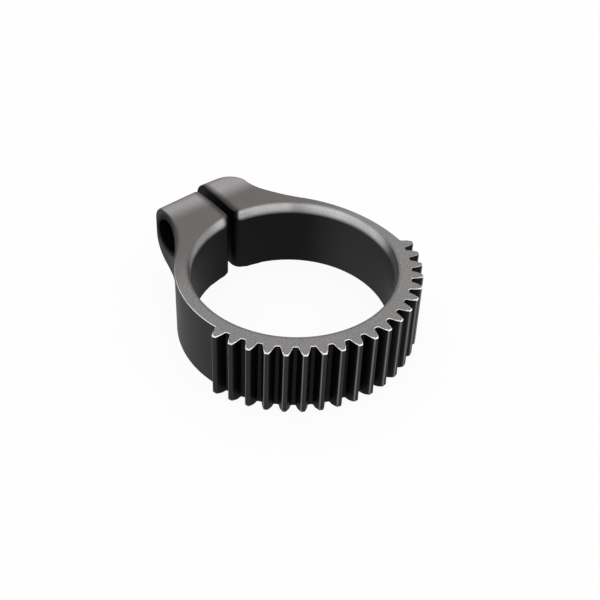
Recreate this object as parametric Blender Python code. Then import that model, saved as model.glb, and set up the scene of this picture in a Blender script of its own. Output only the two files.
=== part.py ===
"""Sector gear with a split clamp lug, one machined steel piece.

A ring carries a sector of involute spur teeth at the front and a clamp lug at the back.
A slit splits the lug down to the bore, and one bolt hole crosses both ears of the lug.
Lengths are in metres. The model is drawn about the bore's axis, with +Y towards the lug,
and is then placed so that the middle of its footprint lies at the world's origin.
"""
import math

import bmesh
import bpy
from mathutils import Matrix, Vector

MM = 0.001

# Teeth
MODULE = 1.0 * MM
FULL_CIRCLE_TEETH = 45
SECTOR_TEETH = 19
PRESSURE_ANGLE = math.radians(20.0)
ADDENDUM_FACTOR = 1.0
DEDENDUM_FACTOR = 1.1
ROOT_FILLET = 0.25 * MM

# Ring
FACE_WIDTH = 14.0 * MM
RIM_THICKNESS = 2.9 * MM
THIN_WALL = 1.6 * MM
THINNING_ARC = math.radians(36.0)
FLANK_WALL = 2.2 * MM
LEFT_FLANK_FOOT = math.radians(145.0)
RIGHT_FLANK_FOOT = math.radians(47.0)
RIGHT_FLANK_LEAN = math.radians(7.0)
LEAD_IN_DEPTH = 2.2 * MM
LEAD_IN_OPENING = 0.5 * MM

# Clamp lug
LUG_WIDTH = 18.6 * MM
LUG_OFFSET = -1.1 * MM
LUG_REACH = 9.6 * MM
LONG_EAR_EXTRA = 1.5 * MM
LEFT_FLANK_RADIUS = 72.0 * MM
RIGHT_FLANK_RADIUS = 40.0 * MM
FLANK_FILLET = 10.0 * MM
EAR_FALL_LENGTH = 7.2 * MM
EAR_FALL_ANGLE = math.radians(4.5)
EAR_TOP_RADIUS = 3.5 * MM
EAR_FOOT_RADIUS = 6.5 * MM
SEAT_EDGE_RADIUS = 0.6 * MM
LONG_EAR_EDGE_RADIUS = 3.6 * MM

# Slit
SLIT_WIDTH = 2.0 * MM
SLIT_MIDDLE = -0.85 * MM
SLIT_EDGE_BREAK = 0.4 * MM
SEAT_EAR_CORNER = 0.6 * MM
LONG_EAR_CORNER = 2.2 * MM

# Bolt hole
BOLT_HOLE_DIAMETER = 7.0 * MM
BOLT_HOLE_TO_END = 4.6 * MM
BOLT_HOLE_LIFT = 1.2 * MM
BOLT_HOLE_CHAMFER = 0.3 * MM

# Fineness of the curves
ARC_STEP = math.radians(3.0)
FLANK_POINTS = 5
FILLET_POINTS = 3
CORNER_POINTS = 6
HOLE_SIDES = 48
CUT_MARGIN = 1.0 * MM
CORNER_OVERLAP = 0.03 * MM

# Sizes that follow
PITCH_RADIUS = MODULE * FULL_CIRCLE_TEETH / 2
TIP_RADIUS = PITCH_RADIUS + ADDENDUM_FACTOR * MODULE
ROOT_RADIUS = PITCH_RADIUS - DEDENDUM_FACTOR * MODULE
BASE_RADIUS = PITCH_RADIUS * math.cos(PRESSURE_ANGLE)
BORE_RADIUS = ROOT_RADIUS - RIM_THICKNESS
THIN_RADIUS = BORE_RADIUS + THIN_WALL
FLANK_FOOT_RADIUS = BORE_RADIUS + FLANK_WALL
TOOTH_PITCH = 2 * math.pi / FULL_CIRCLE_TEETH
SECTOR_MIDDLE = -math.pi / 2
LUG_LEFT = LUG_OFFSET - LUG_WIDTH / 2
LUG_RIGHT = LUG_OFFSET + LUG_WIDTH / 2
SEAT_EAR_END = ROOT_RADIUS + LUG_REACH
LONG_EAR_END = SEAT_EAR_END + LONG_EAR_EXTRA
BOLT_AXIS_Y = SEAT_EAR_END - BOLT_HOLE_TO_END
BOLT_AXIS_Z = FACE_WIDTH / 2 + BOLT_HOLE_LIFT


def clear_scene():
    for old in list(bpy.data.objects):
        bpy.data.objects.remove(old, do_unlink=True)


def polar(radius, angle):
    return Vector((radius * math.cos(angle), radius * math.sin(angle)))


def arc(centre, radius, start, end, steps=None):
    """Points along an arc, both ends included."""
    steps = steps or max(2, math.ceil(abs(end - start) / ARC_STEP))
    return [centre + polar(radius, start + (end - start) * i / steps) for i in range(steps + 1)]


def involute(angle):
    return math.tan(angle) - angle


def tooth_half_angle(radius):
    """Half the angle that a tooth takes at a radius, from the involute of its base circle."""
    pressure = math.acos(BASE_RADIUS / max(radius, BASE_RADIUS))
    return TOOTH_PITCH / 4 + involute(PRESSURE_ANGLE) - involute(pressure)


def tooth_flank():
    """One flank as pairs of radius and half angle, from the root fillet up to the tip."""
    floor = tooth_half_angle(ROOT_RADIUS)
    flank = []
    for i in range(FILLET_POINTS):
        turn = math.pi / 2 * i / FILLET_POINTS
        lift = ROOT_FILLET * (1 - math.cos(turn))
        spread = ROOT_FILLET * (1 - math.sin(turn)) / ROOT_RADIUS
        flank.append((ROOT_RADIUS + lift, floor + spread))
    first = ROOT_RADIUS + ROOT_FILLET
    for i in range(FLANK_POINTS + 1):
        radius = first + (TIP_RADIUS - first) * i / FLANK_POINTS
        flank.append((radius, tooth_half_angle(radius)))
    return flank


def sector_outline():
    """The toothed part of the outline, from its first root to its last, turning left."""
    flank = tooth_flank()
    points = []
    for i in range(SECTOR_TEETH):
        middle = SECTOR_MIDDLE + (i - (SECTOR_TEETH - 1) / 2) * TOOTH_PITCH
        points += [polar(radius, middle - half) for radius, half in flank]
        points.append(polar(TIP_RADIUS, middle))
        points += [polar(radius, middle + half) for radius, half in reversed(flank)]
    return points


def flank(side, foot, outward, radius, lug_side):
    """The hollow curve from its foot on the ring up to the lug's side, long and then short."""
    long_centre = foot + outward * radius
    short_x = lug_side + side * FLANK_FILLET
    reach = radius - FLANK_FILLET
    fall = math.sqrt(reach ** 2 - (long_centre.x - short_x) ** 2)
    short_centre = Vector((short_x, long_centre.y - fall))
    at_foot = math.atan2(-outward.y, -outward.x)
    at_meeting = math.atan2(short_centre.y - long_centre.y, short_centre.x - long_centre.x)
    at_side = 0.0
    if side > 0:
        at_foot = at_foot % (2 * math.pi)
        at_meeting = at_meeting % (2 * math.pi)
        at_side = math.pi
    points = arc(long_centre, radius, at_foot, at_meeting)
    return points + arc(short_centre, FLANK_FILLET, at_meeting, at_side)[1:]


def thin_wall(sector_end):
    """The ring's wall between the last tooth and the right flank, thinnest in the middle."""
    points = []
    thinnest = sector_end + THINNING_ARC
    steps = math.ceil(THINNING_ARC / ARC_STEP)
    for i in range(1, steps + 1):
        share = i / steps
        radius = THIN_RADIUS + (ROOT_RADIUS - THIN_RADIUS) * (1 - share) ** 2
        points.append(polar(radius, sector_end + THINNING_ARC * share))
    steps = math.ceil((RIGHT_FLANK_FOOT - thinnest) / ARC_STEP)
    for i in range(1, steps):
        share = i / steps
        radius = THIN_RADIUS + (FLANK_FOOT_RADIUS - THIN_RADIUS) * share ** 2
        points.append(polar(radius, thinnest + (RIGHT_FLANK_FOOT - thinnest) * share))
    return points


def body_outline():
    """The outline seen from above, turning left, with the lug still whole."""
    sector_half = (SECTOR_TEETH - 1) / 2 * TOOTH_PITCH + tooth_half_angle(ROOT_RADIUS)
    sector_half += ROOT_FILLET / ROOT_RADIUS
    sector_end = SECTOR_MIDDLE + sector_half
    sector_start = SECTOR_MIDDLE - sector_half + 2 * math.pi
    end = LONG_EAR_END + CUT_MARGIN
    right_foot = polar(FLANK_FOOT_RADIUS, RIGHT_FLANK_FOOT)
    right_outward = polar(1.0, RIGHT_FLANK_FOOT - RIGHT_FLANK_LEAN)
    left_outward = polar(1.0, LEFT_FLANK_FOOT)
    left_foot = left_outward * ROOT_RADIUS

    points = sector_outline()
    points += thin_wall(sector_end)
    points += flank(1, right_foot, right_outward, RIGHT_FLANK_RADIUS, LUG_RIGHT)
    points.append(Vector((LUG_RIGHT, end)))
    points.append(Vector((LUG_LEFT, end)))
    points += reversed(flank(-1, left_foot, left_outward, LEFT_FLANK_RADIUS, LUG_LEFT))
    points += arc(Vector((0, 0)), ROOT_RADIUS, LEFT_FLANK_FOOT, sector_start)[1:-1]
    return points


def new_object(name, mesh_maker):
    """An object whose mesh is filled by a function that works on a bmesh."""
    mesh = bpy.data.meshes.new(name)
    shape = bmesh.new()
    mesh_maker(shape)
    bmesh.ops.recalc_face_normals(shape, faces=shape.faces)
    shape.to_mesh(mesh)
    shape.free()
    made = bpy.data.objects.new(name, mesh)
    bpy.context.scene.collection.objects.link(made)
    return made


def prism(shape, outline, bottom, height):
    """Fills an outline and lifts it into a solid."""
    ring = [shape.verts.new((point.x, point.y, bottom)) for point in outline]
    base = shape.faces.new(ring)
    lifted = bmesh.ops.extrude_face_region(shape, geom=[base])["geom"]
    top = [item for item in lifted if isinstance(item, bmesh.types.BMVert)]
    bmesh.ops.translate(shape, verts=top, vec=(0, 0, height))


def rounded_corner(before, corner, after, radius):
    """The arc that takes the place of a sharp corner between two straight lines."""
    to_before = (before - corner).normalized()
    to_after = (after - corner).normalized()
    half = to_before.angle(to_after) / 2
    centre = corner + (to_before + to_after).normalized() * (radius / math.sin(half))
    start = corner + to_before * (radius / math.tan(half)) - centre
    turn = start.angle_signed(corner + to_after * (radius / math.tan(half)) - centre)
    first = math.atan2(start.y, start.x)
    return arc(centre, radius, first, first - turn, CORNER_POINTS)


def loft(shape, rings):
    """Joins rings of equally many points into a closed solid."""
    count = len(rings[0])
    made = [[shape.verts.new(point) for point in ring] for ring in rings]
    for near, far in zip(made, made[1:]):
        for i in range(count):
            j = (i + 1) % count
            shape.faces.new((near[i], near[j], far[j], far[i]))
    shape.faces.new(made[0])
    shape.faces.new(made[-1])


def ear_profile(end, inset):
    """The lug seen from the side: pairs of Y and Z, falling away towards its round end."""
    fall_from = end - EAR_FALL_LENGTH
    slope = math.tan(EAR_FALL_ANGLE)
    face = end - inset
    drop = slope * (face - fall_from)
    back = -TIP_RADIUS - CUT_MARGIN
    high = FACE_WIDTH + CUT_MARGIN
    top_start = Vector((fall_from - CUT_MARGIN / slope, high))
    top_corner = Vector((face, FACE_WIDTH - drop))
    foot_corner = Vector((face, drop))
    foot_start = Vector((fall_from - CUT_MARGIN / slope, -CUT_MARGIN))
    taken = (EAR_TOP_RADIUS + EAR_FOOT_RADIUS) / math.tan((math.pi / 2 + EAR_FALL_ANGLE) / 2)
    room = min(1.0, 0.95 * (FACE_WIDTH - 2 * drop) / taken)
    profile = [Vector((back, -CUT_MARGIN)), foot_start]
    profile += rounded_corner(foot_start, foot_corner, top_corner, EAR_FOOT_RADIUS * room)
    profile += rounded_corner(foot_corner, top_corner, top_start, EAR_TOP_RADIUS * room)
    profile += [top_start, Vector((back, high))]
    return profile


def edge_stations(side, outer, radius, end):
    """Places across one ear, from its flat to its side, each with the round edge's inset."""
    stations = []
    for i in range(CORNER_POINTS + 1):
        turn = math.pi / 2 * i / CORNER_POINTS
        across = outer - side * radius * (1 - math.sin(turn))
        stations.append((across, end, radius * (1 - math.cos(turn))))
    return stations


def lug_envelope(shape):
    """A solid that holds the whole part and gives the two ears their rounded ends."""
    wide = 2 * TIP_RADIUS
    hair = SLIT_WIDTH / 8
    left = edge_stations(-1, LUG_LEFT, SEAT_EDGE_RADIUS, SEAT_EAR_END)
    right = edge_stations(1, LUG_RIGHT, LONG_EAR_EDGE_RADIUS, LONG_EAR_END)
    stations = [(-wide, SEAT_EAR_END, left[-1][2])]
    stations += reversed(left)
    stations.append((SLIT_MIDDLE - hair, SEAT_EAR_END, 0.0))
    stations.append((SLIT_MIDDLE + hair, LONG_EAR_END, 0.0))
    stations += right
    stations.append((wide, LONG_EAR_END, right[-1][2]))
    rings = []
    for across, end, inset in stations:
        rings.append([(across, point.x, point.y) for point in ear_profile(end, inset)])
    loft(shape, rings)


def turned(shape, profile, sides, frame):
    """Turns pairs of radius and height about the Z axis into a closed solid, then places it."""
    rings = []
    for radius, height in profile:
        circle = [polar(radius, 2 * math.pi * i / sides) for i in range(sides)]
        rings.append([frame @ Vector((point.x, point.y, height)) for point in circle])
    loft(shape, rings)


def bore_cutter(shape):
    """The bore, with the curved lead-in that opens it at the top face."""
    half_turn = math.atan2(LEAD_IN_OPENING, LEAD_IN_DEPTH)
    sweep = 2 * half_turn
    radius = LEAD_IN_DEPTH / math.sin(sweep)
    profile = [(BORE_RADIUS, -CUT_MARGIN)]
    for i in range(FILLET_POINTS + 2):
        turn = sweep * i / (FILLET_POINTS + 1)
        height = FACE_WIDTH - LEAD_IN_DEPTH + radius * math.sin(turn)
        profile.append((BORE_RADIUS + radius * (1 - math.cos(turn)), height))
    over = profile[-1][0] + CUT_MARGIN * math.tan(sweep)
    profile.append((over, FACE_WIDTH + CUT_MARGIN))
    turned(shape, profile, math.ceil(2 * math.pi / ARC_STEP), Matrix.Identity(4))


def slit_side(side, wall, corner):
    """One side of the slit from its far end to the bore, with the ear's corner rounded."""
    centre_x = wall + side * corner
    reach = BORE_RADIUS + corner - CORNER_OVERLAP
    centre = Vector((centre_x, math.sqrt(reach ** 2 - centre_x ** 2)))
    to_wall = math.pi / 2 + side * math.pi / 2
    to_bore = math.atan2(-centre.y, -centre.x)
    if side > 0:
        to_bore = to_bore % (2 * math.pi)
    points = [Vector((wall, LONG_EAR_END + CUT_MARGIN))]
    return points + arc(centre, corner, to_wall, to_bore, CORNER_POINTS)


def slit_cutter(shape):
    """The gap between the ears, a little wider where its edges are broken at both faces."""
    inside = Vector((SLIT_MIDDLE, BORE_RADIUS - RIM_THICKNESS))
    rings = []
    for height, widening in (
        (-CUT_MARGIN, SLIT_EDGE_BREAK + CUT_MARGIN),
        (SLIT_EDGE_BREAK, 0.0),
        (FACE_WIDTH - SLIT_EDGE_BREAK, 0.0),
        (FACE_WIDTH + CUT_MARGIN, SLIT_EDGE_BREAK + CUT_MARGIN),
    ):
        half = SLIT_WIDTH / 2 + widening
        right = slit_side(1, SLIT_MIDDLE + half, LONG_EAR_CORNER)
        left = slit_side(-1, SLIT_MIDDLE - half, SEAT_EAR_CORNER)
        outline = right + [inside] + left[::-1]
        rings.append([(point.x, point.y, height) for point in outline])
    loft(shape, rings)


def bolt_hole_cutter(shape):
    """The bolt's hole through both ears, with a small chamfer at each mouth."""
    radius = BOLT_HOLE_DIAMETER / 2
    mouth = radius + BOLT_HOLE_CHAMFER
    profile = [
        (mouth, LUG_LEFT - TIP_RADIUS),
        (mouth, LUG_LEFT),
        (radius, LUG_LEFT + BOLT_HOLE_CHAMFER),
        (radius, LUG_RIGHT - BOLT_HOLE_CHAMFER),
        (mouth, LUG_RIGHT),
        (mouth, LUG_RIGHT + TIP_RADIUS),
    ]
    along_x = Matrix.Rotation(math.pi / 2, 4, "Y")
    place = Matrix.Translation((0, BOLT_AXIS_Y, BOLT_AXIS_Z)) @ along_x
    turned(shape, profile, HOLE_SIDES, place)


def cut(target, name, maker, operation="DIFFERENCE"):
    """Adds a hidden tool body and the Boolean that uses it."""
    tool = new_object(name, maker)
    tool.hide_render = True
    tool.display_type = "WIRE"
    tool.parent = target
    modifier = target.modifiers.new(name, "BOOLEAN")
    modifier.object = tool
    modifier.operation = operation
    modifier.solver = "EXACT"


def steel_material():
    material = bpy.data.materials.new("blackened_steel")
    material.use_nodes = True
    shader = material.node_tree.nodes["Principled BSDF"]
    shader.inputs["Base Color"].default_value = (0.13, 0.127, 0.123, 1.0)
    shader.inputs["Metallic"].default_value = 0.85
    shader.inputs["Roughness"].default_value = 0.48
    return material


def build_sector_gear():
    outline = body_outline()
    gear = new_object("sector_gear", lambda shape: prism(shape, outline, 0.0, FACE_WIDTH))
    cut(gear, "lug_envelope", lug_envelope, "INTERSECT")
    cut(gear, "bore_cutter", bore_cutter)
    cut(gear, "slit_cutter", slit_cutter)
    cut(gear, "bolt_hole_cutter", bolt_hole_cutter)
    gear.data.materials.append(steel_material())
    gear.data.shade_smooth()
    gear.data.set_sharp_from_angle(angle=math.radians(25))
    gear.location = (0, (TIP_RADIUS - LONG_EAR_END) / 2, 0)
    return gear


clear_scene()
build_sector_gear()
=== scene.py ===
"""The looks of the sector gear: a finely edged mesh in place of the plain solid, its blackened
steel, and a white floor, soft light and camera.

Lengths are in metres. The gear is drawn about the bore's axis, with +Y towards the clamp lug,
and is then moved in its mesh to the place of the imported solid.
"""
import math

import bmesh
import bpy
from mathutils import Matrix, Vector


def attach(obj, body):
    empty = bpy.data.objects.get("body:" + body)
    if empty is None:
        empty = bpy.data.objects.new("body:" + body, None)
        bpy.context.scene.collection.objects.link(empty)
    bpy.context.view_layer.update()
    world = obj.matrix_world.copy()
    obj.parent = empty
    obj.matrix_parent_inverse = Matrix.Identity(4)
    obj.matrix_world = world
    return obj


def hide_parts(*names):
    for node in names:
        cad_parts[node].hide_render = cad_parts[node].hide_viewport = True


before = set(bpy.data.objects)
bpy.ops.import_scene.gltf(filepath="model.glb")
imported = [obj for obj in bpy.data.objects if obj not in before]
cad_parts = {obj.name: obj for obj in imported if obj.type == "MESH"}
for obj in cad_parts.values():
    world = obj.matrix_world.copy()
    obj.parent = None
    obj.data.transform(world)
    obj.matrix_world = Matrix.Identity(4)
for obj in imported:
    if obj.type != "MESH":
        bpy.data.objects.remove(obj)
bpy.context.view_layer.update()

MM = 0.001

# Teeth
MODULE = 1.0 * MM
CIRCLE_TEETH = 45
SECTOR_TEETH = 19
PRESSURE_ANGLE = math.radians(20.0)
ADDENDUM_FACTOR = 1.0
DEDENDUM_FACTOR = 1.1
ROOT_FILLET = 0.25 * MM
TOOTH_SINK = 0.8 * MM
TOOTH_FOOT_ROUND = 0.9 * MM
TOOTH_FOOT_STEPS = 5
TOOTH_FOOT_FALL = 0.6 * MM
TOOTH_FOOT_NARROWING = 0.7
TOOTH_FOOT_POWER = 3
FLANK_STEPS = 8
FILLET_STEPS = 4

# Ring
FACE_WIDTH = 14.0 * MM
RIM_THICKNESS = 2.9 * MM
THIN_WALL = 1.6 * MM
THINNING_ARC = math.radians(36.0)
FLANK_WALL = 2.2 * MM
LEFT_FLANK_FOOT = math.radians(145.0)
RIGHT_FLANK_FOOT = math.radians(47.0)
RIGHT_FLANK_LEAN = math.radians(7.0)
LEAD_IN_DEPTH = 2.2 * MM
LEAD_IN_OPENING = 0.5 * MM
LEAD_IN_STEPS = 8

# Clamp lug
LUG_WIDTH = 18.6 * MM
LUG_OFFSET = -1.1 * MM
LUG_REACH = 9.6 * MM
LONG_EAR_EXTRA = 1.5 * MM
LEFT_FLANK_RADIUS = 72.0 * MM
RIGHT_FLANK_RADIUS = 40.0 * MM
FLANK_FILLET = 10.0 * MM
LEFT_FLANK_TOP_RADIUS = 18.0 * MM
LEFT_SIDE_DRAFT = 0.2 * MM
FLANK_STATIONS = 28
EAR_FALL_LENGTH = 7.2 * MM
EAR_FALL_ANGLE = math.radians(4.5)
EAR_TOP_RADIUS = 3.5 * MM
EAR_FOOT_RADIUS = 6.5 * MM
SEAT_EDGE_RADIUS = 0.6 * MM
SEAT_EAR_SLANT = 0.7 * MM
LONG_EAR_EDGE_RADIUS = 3.6 * MM
EAR_ROUNDING_ROOM = 0.95

# Slit
SLIT_WIDTH = 1.6 * MM
SLIT_MIDDLE = -0.4 * MM
SEAT_EAR_CORNER = 1.2 * MM
LONG_EAR_CORNER = 2.2 * MM
CORNER_OVERLAP = 0.03 * MM
SLIT_MOUTH_ARC = math.radians(6.0)
SLIT_REACH = 6.0 * MM
EAR_STEP_HALF = SLIT_WIDTH / 8

# Bolt hole
BOLT_HOLE_RADIUS = 3.5 * MM
BOLT_HOLE_TO_END = 4.9 * MM
BOLT_HOLE_LIFT = 1.3 * MM
BOLT_HOLE_CHAMFER = 0.3 * MM
HOLE_SIDES = 96

# Softened edges
WIDEST_SOFTENING = 0.4 * MM
SLIT_SOFTENING = 0.4 * MM
TOP_SOFTENING = 0.12 * MM
TIP_SOFTENING = 0.27 * MM
EAR_SOFTENING = 0.4 * MM
EAR_SOFTENING_FROM = 15.0 * MM
EAR_SOFTENING_FULL = 23.0 * MM
BOTTOM_SOFTENING = 0.18 * MM
LEAD_IN_SOFTENING = 0.06 * MM
BORE_FOOT_SOFTENING = 0.2 * MM
TOOTH_CREST_SOFTENING = 0.2 * MM
SOFTENING_STEPS = 3
BARELY_SHARP = math.radians(40.0)
FULLY_SHARP = math.radians(60.0)
SHADED_SHARP = math.radians(32.0)
FLAT_FACE_WEIGHT = 80

# Fineness of the curves
ARC_STEP = math.radians(1.5)
CORNER_STEPS = 12
CUT_MARGIN = 1.0 * MM
WELD = 0.002 * MM
FLATNESS = math.radians(0.2)

# Sizes that follow
PITCH_RADIUS = MODULE * CIRCLE_TEETH / 2
TIP_RADIUS = PITCH_RADIUS + ADDENDUM_FACTOR * MODULE
ROOT_RADIUS = PITCH_RADIUS - DEDENDUM_FACTOR * MODULE
BASE_RADIUS = PITCH_RADIUS * math.cos(PRESSURE_ANGLE)
BORE_RADIUS = ROOT_RADIUS - RIM_THICKNESS
THIN_RADIUS = BORE_RADIUS + THIN_WALL
FLANK_FOOT_RADIUS = BORE_RADIUS + FLANK_WALL
LEAD_IN_RADIUS = BORE_RADIUS + LEAD_IN_OPENING
SLIT_MOUTH_RADIUS = BORE_RADIUS - CORNER_OVERLAP
TOOTH_PITCH = 2 * math.pi / CIRCLE_TEETH
SECTOR_MIDDLE = -math.pi / 2
LUG_LEFT = LUG_OFFSET - LUG_WIDTH / 2
LUG_RIGHT = LUG_OFFSET + LUG_WIDTH / 2
SEAT_EAR_END = ROOT_RADIUS + LUG_REACH
LONG_EAR_END = SEAT_EAR_END + LONG_EAR_EXTRA
BOLT_AXIS_Y = SEAT_EAR_END - BOLT_HOLE_TO_END
BOLT_AXIS_Z = FACE_WIDTH / 2 + BOLT_HOLE_LIFT
BORE_AXIS_Y = (TIP_RADIUS - LONG_EAR_END) / 2
SECTOR_HALF = SECTOR_TEETH / 2 * TOOTH_PITCH

# Camera
CAMERA_AZIMUTH = math.radians(-38.953)
CAMERA_ELEVATION = math.radians(41.241)
CAMERA_ROLL = math.radians(2.577)
CAMERA_DISTANCE = 222.81 * MM
CAMERA_AIM = Vector((5.224 * MM, 4.128 * MM + BORE_AXIS_Y, 0.0))
CAMERA_LENS = 69.389
CAMERA_SENSOR = 36.0
CAMERA_NEAREST = 0.01

# Floor and light
FLOOR_SIZE = 6.0
FLOOR_ALBEDO = 0.9
FLOOR_GLOW = 0.93
DOME_LOW = 0.55
DOME_HIGH = 1.0
DOME_RISE = (0.0, 0.5)
BACK_SOFTBOX = {"place": (0.22, 0.26, 0.34), "aim": (0.0, 0.0, 0.01), "size": 0.25, "radiance": 0.8}
FRONT_SOFTBOX = {"place": (0.24, -0.46, 0.16), "aim": (0.0, 0.0, 0.012), "size": 0.22, "radiance": 2.2}
WHITE = (1.0, 1.0, 1.0, 1.0)


class Value:
    """A node's output; arithmetic on it adds Math nodes to the same tree."""

    def __init__(self, graph, socket):
        self.graph = graph
        self.socket = socket

    def output(self, name):
        """Another output of the same node."""
        return Value(self.graph, self.socket.node.outputs[name])

    def math(self, operation, *operands):
        return self.graph.math(operation, self, *operands)

    def __add__(self, other):
        return self.graph.math("ADD", self, other)

    def __radd__(self, other):
        return self.graph.math("ADD", other, self)

    def __sub__(self, other):
        return self.graph.math("SUBTRACT", self, other)

    def __rsub__(self, other):
        return self.graph.math("SUBTRACT", other, self)

    def __mul__(self, other):
        return self.graph.math("MULTIPLY", self, other)

    def __rmul__(self, other):
        return self.graph.math("MULTIPLY", other, self)

    def __truediv__(self, other):
        return self.graph.math("DIVIDE", self, other)

    def __rtruediv__(self, other):
        return self.graph.math("DIVIDE", other, self)

    def __pow__(self, other):
        return self.graph.math("POWER", self, other)

    def __neg__(self):
        return self.graph.math("MULTIPLY", self, -1.0)

    def clamped(self):
        return self.highest(0.0).math("MINIMUM", 1.0)

    def highest(self, other):
        return self.math("MAXIMUM", other)

    def smooth_step(self, low, high):
        """0 below the low value and 1 above the high one, with soft ends."""
        sockets = {"Value": self, "From Min": low, "From Max": high}
        return self.graph.add("ShaderNodeMapRange", {"interpolation_type": "SMOOTHSTEP"}, sockets)


class Graph:
    """Adds nodes to one tree."""

    def __init__(self, tree):
        self.tree = tree

    def add(self, kind, settings=None, sockets=None, output=0):
        """A node with its settings, then the values or links of its sockets."""
        node = self.tree.nodes.new(kind)
        for name, setting in (settings or {}).items():
            setattr(node, name, setting)
        for name, given in (sockets or {}).items():
            for item in given if isinstance(given, list) else [given]:
                if isinstance(item, Value):
                    self.tree.links.new(item.socket, node.inputs[name])
                else:
                    node.inputs[name].default_value = item
        if not node.outputs:
            return None
        return Value(self, node.outputs[output])

    def math(self, operation, *operands):
        return self.add("ShaderNodeMath", {"operation": operation}, dict(enumerate(operands)))

    def mix(self, factor, first, second):
        """A colour between two others."""
        return self.add("ShaderNodeMix", {"data_type": "RGBA"}, {0: factor, 6: first, 7: second}, 2)

    def noise(self, place, scale, detail, roughness):
        sockets = {"Vector": place, "Scale": scale, "Detail": detail, "Roughness": roughness}
        return self.add("ShaderNodeTexNoise", None, sockets)


# Plane geometry

def polar(radius, angle):
    return Vector((radius * math.cos(angle), radius * math.sin(angle)))


def arc(centre, radius, start, end, steps=None):
    """Points along an arc, both ends included."""
    steps = steps or max(2, math.ceil(abs(end - start) / ARC_STEP))
    return [centre + polar(radius, start + (end - start) * i / steps) for i in range(steps + 1)]


def rounded_corner(before, corner, after, radius):
    """The arc that takes the place of a sharp corner between two straight lines."""
    to_before = (before - corner).normalized()
    to_after = (after - corner).normalized()
    half = to_before.angle(to_after) / 2
    centre = corner + (to_before + to_after).normalized() * (radius / math.sin(half))
    start = corner + to_before * (radius / math.tan(half)) - centre
    turn = start.angle_signed(corner + to_after * (radius / math.tan(half)) - centre)
    first = math.atan2(start.y, start.x)
    return arc(centre, radius, first, first - turn, CORNER_STEPS)


def tooth_foot_angle():
    """Half the angle that one tooth takes at the root circle, its fillets included."""
    pressure = math.acos(BASE_RADIUS / ROOT_RADIUS)
    standard = math.tan(PRESSURE_ANGLE) - PRESSURE_ANGLE
    tooth_half = TOOTH_PITCH / 4 + standard - (math.tan(pressure) - pressure)
    return tooth_half + ROOT_FILLET / ROOT_RADIUS


def sector_outline():
    """The root circle under the teeth, with points where each tooth's foot begins and ends."""
    foot = tooth_foot_angle()
    points = []
    for i in range(SECTOR_TEETH):
        middle = SECTOR_MIDDLE + (i - (SECTOR_TEETH - 1) / 2) * TOOTH_PITCH
        points += [polar(ROOT_RADIUS, middle - foot), polar(ROOT_RADIUS, middle + foot)]
    return points


def flank(side, foot, outward, radius, lug_side):
    """The hollow curve from its foot on the ring up to the lug's side, long and then short."""
    long_centre = foot + outward * radius
    short_x = lug_side + side * FLANK_FILLET
    reach = radius - FLANK_FILLET
    fall = math.sqrt(reach ** 2 - (long_centre.x - short_x) ** 2)
    short_centre = Vector((short_x, long_centre.y - fall))
    at_foot = math.atan2(-outward.y, -outward.x)
    at_meeting = math.atan2(short_centre.y - long_centre.y, short_centre.x - long_centre.x)
    at_side = 0.0
    if side > 0:
        at_foot = at_foot % (2 * math.pi)
        at_meeting = at_meeting % (2 * math.pi)
        at_side = math.pi
    points = arc(long_centre, radius, at_foot, at_meeting)
    return points + arc(short_centre, FLANK_FILLET, at_meeting, at_side)[1:]


def thin_wall(sector_end):
    """The ring's wall between the last tooth and the right flank, thinnest in the middle."""
    points = []
    thinnest = sector_end + THINNING_ARC
    steps = math.ceil(THINNING_ARC / ARC_STEP)
    for i in range(1, steps + 1):
        share = i / steps
        radius = THIN_RADIUS + (ROOT_RADIUS - THIN_RADIUS) * (1 - share) ** 2
        points.append(polar(radius, sector_end + THINNING_ARC * share))
    steps = math.ceil((RIGHT_FLANK_FOOT - thinnest) / ARC_STEP)
    for i in range(1, steps):
        share = i / steps
        radius = THIN_RADIUS + (FLANK_FOOT_RADIUS - THIN_RADIUS) * share ** 2
        points.append(polar(radius, thinnest + (RIGHT_FLANK_FOOT - thinnest) * share))
    return points


def spread_evenly(points, count):
    """The same line with its points at equal distances."""
    runs = [(after - before).length for before, after in zip(points, points[1:])]
    total = sum(runs)
    spread = []
    for i in range(count + 1):
        left = total * i / count
        step = 0
        while step < len(runs) - 1 and left > runs[step]:
            left -= runs[step]
            step += 1
        spread.append(points[step].lerp(points[step + 1], min(1.0, left / runs[step])))
    return spread


def left_flank_at_bottom():
    """The left flank's curve at the bottom face, in evenly spaced points."""
    outward = polar(1.0, LEFT_FLANK_FOOT)
    points = flank(-1, outward * ROOT_RADIUS, outward, LEFT_FLANK_RADIUS, LUG_LEFT)
    return spread_evenly(points, FLANK_STATIONS)


def left_flank_at_top():
    """Rounder than at the bottom, so that the wall leans in a little above the bolt hole."""
    radius = LEFT_FLANK_TOP_RADIUS
    side = LUG_LEFT + LEFT_SIDE_DRAFT
    centre_x = side - radius
    centre = Vector((centre_x, math.sqrt((ROOT_RADIUS + radius) ** 2 - centre_x ** 2)))
    foot = math.atan2(centre.y, centre.x)
    points = arc(Vector((0, 0)), ROOT_RADIUS, LEFT_FLANK_FOOT, foot)
    points += arc(centre, radius, foot - math.pi, 0.0)[1:]
    return spread_evenly(points, FLANK_STATIONS)


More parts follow.
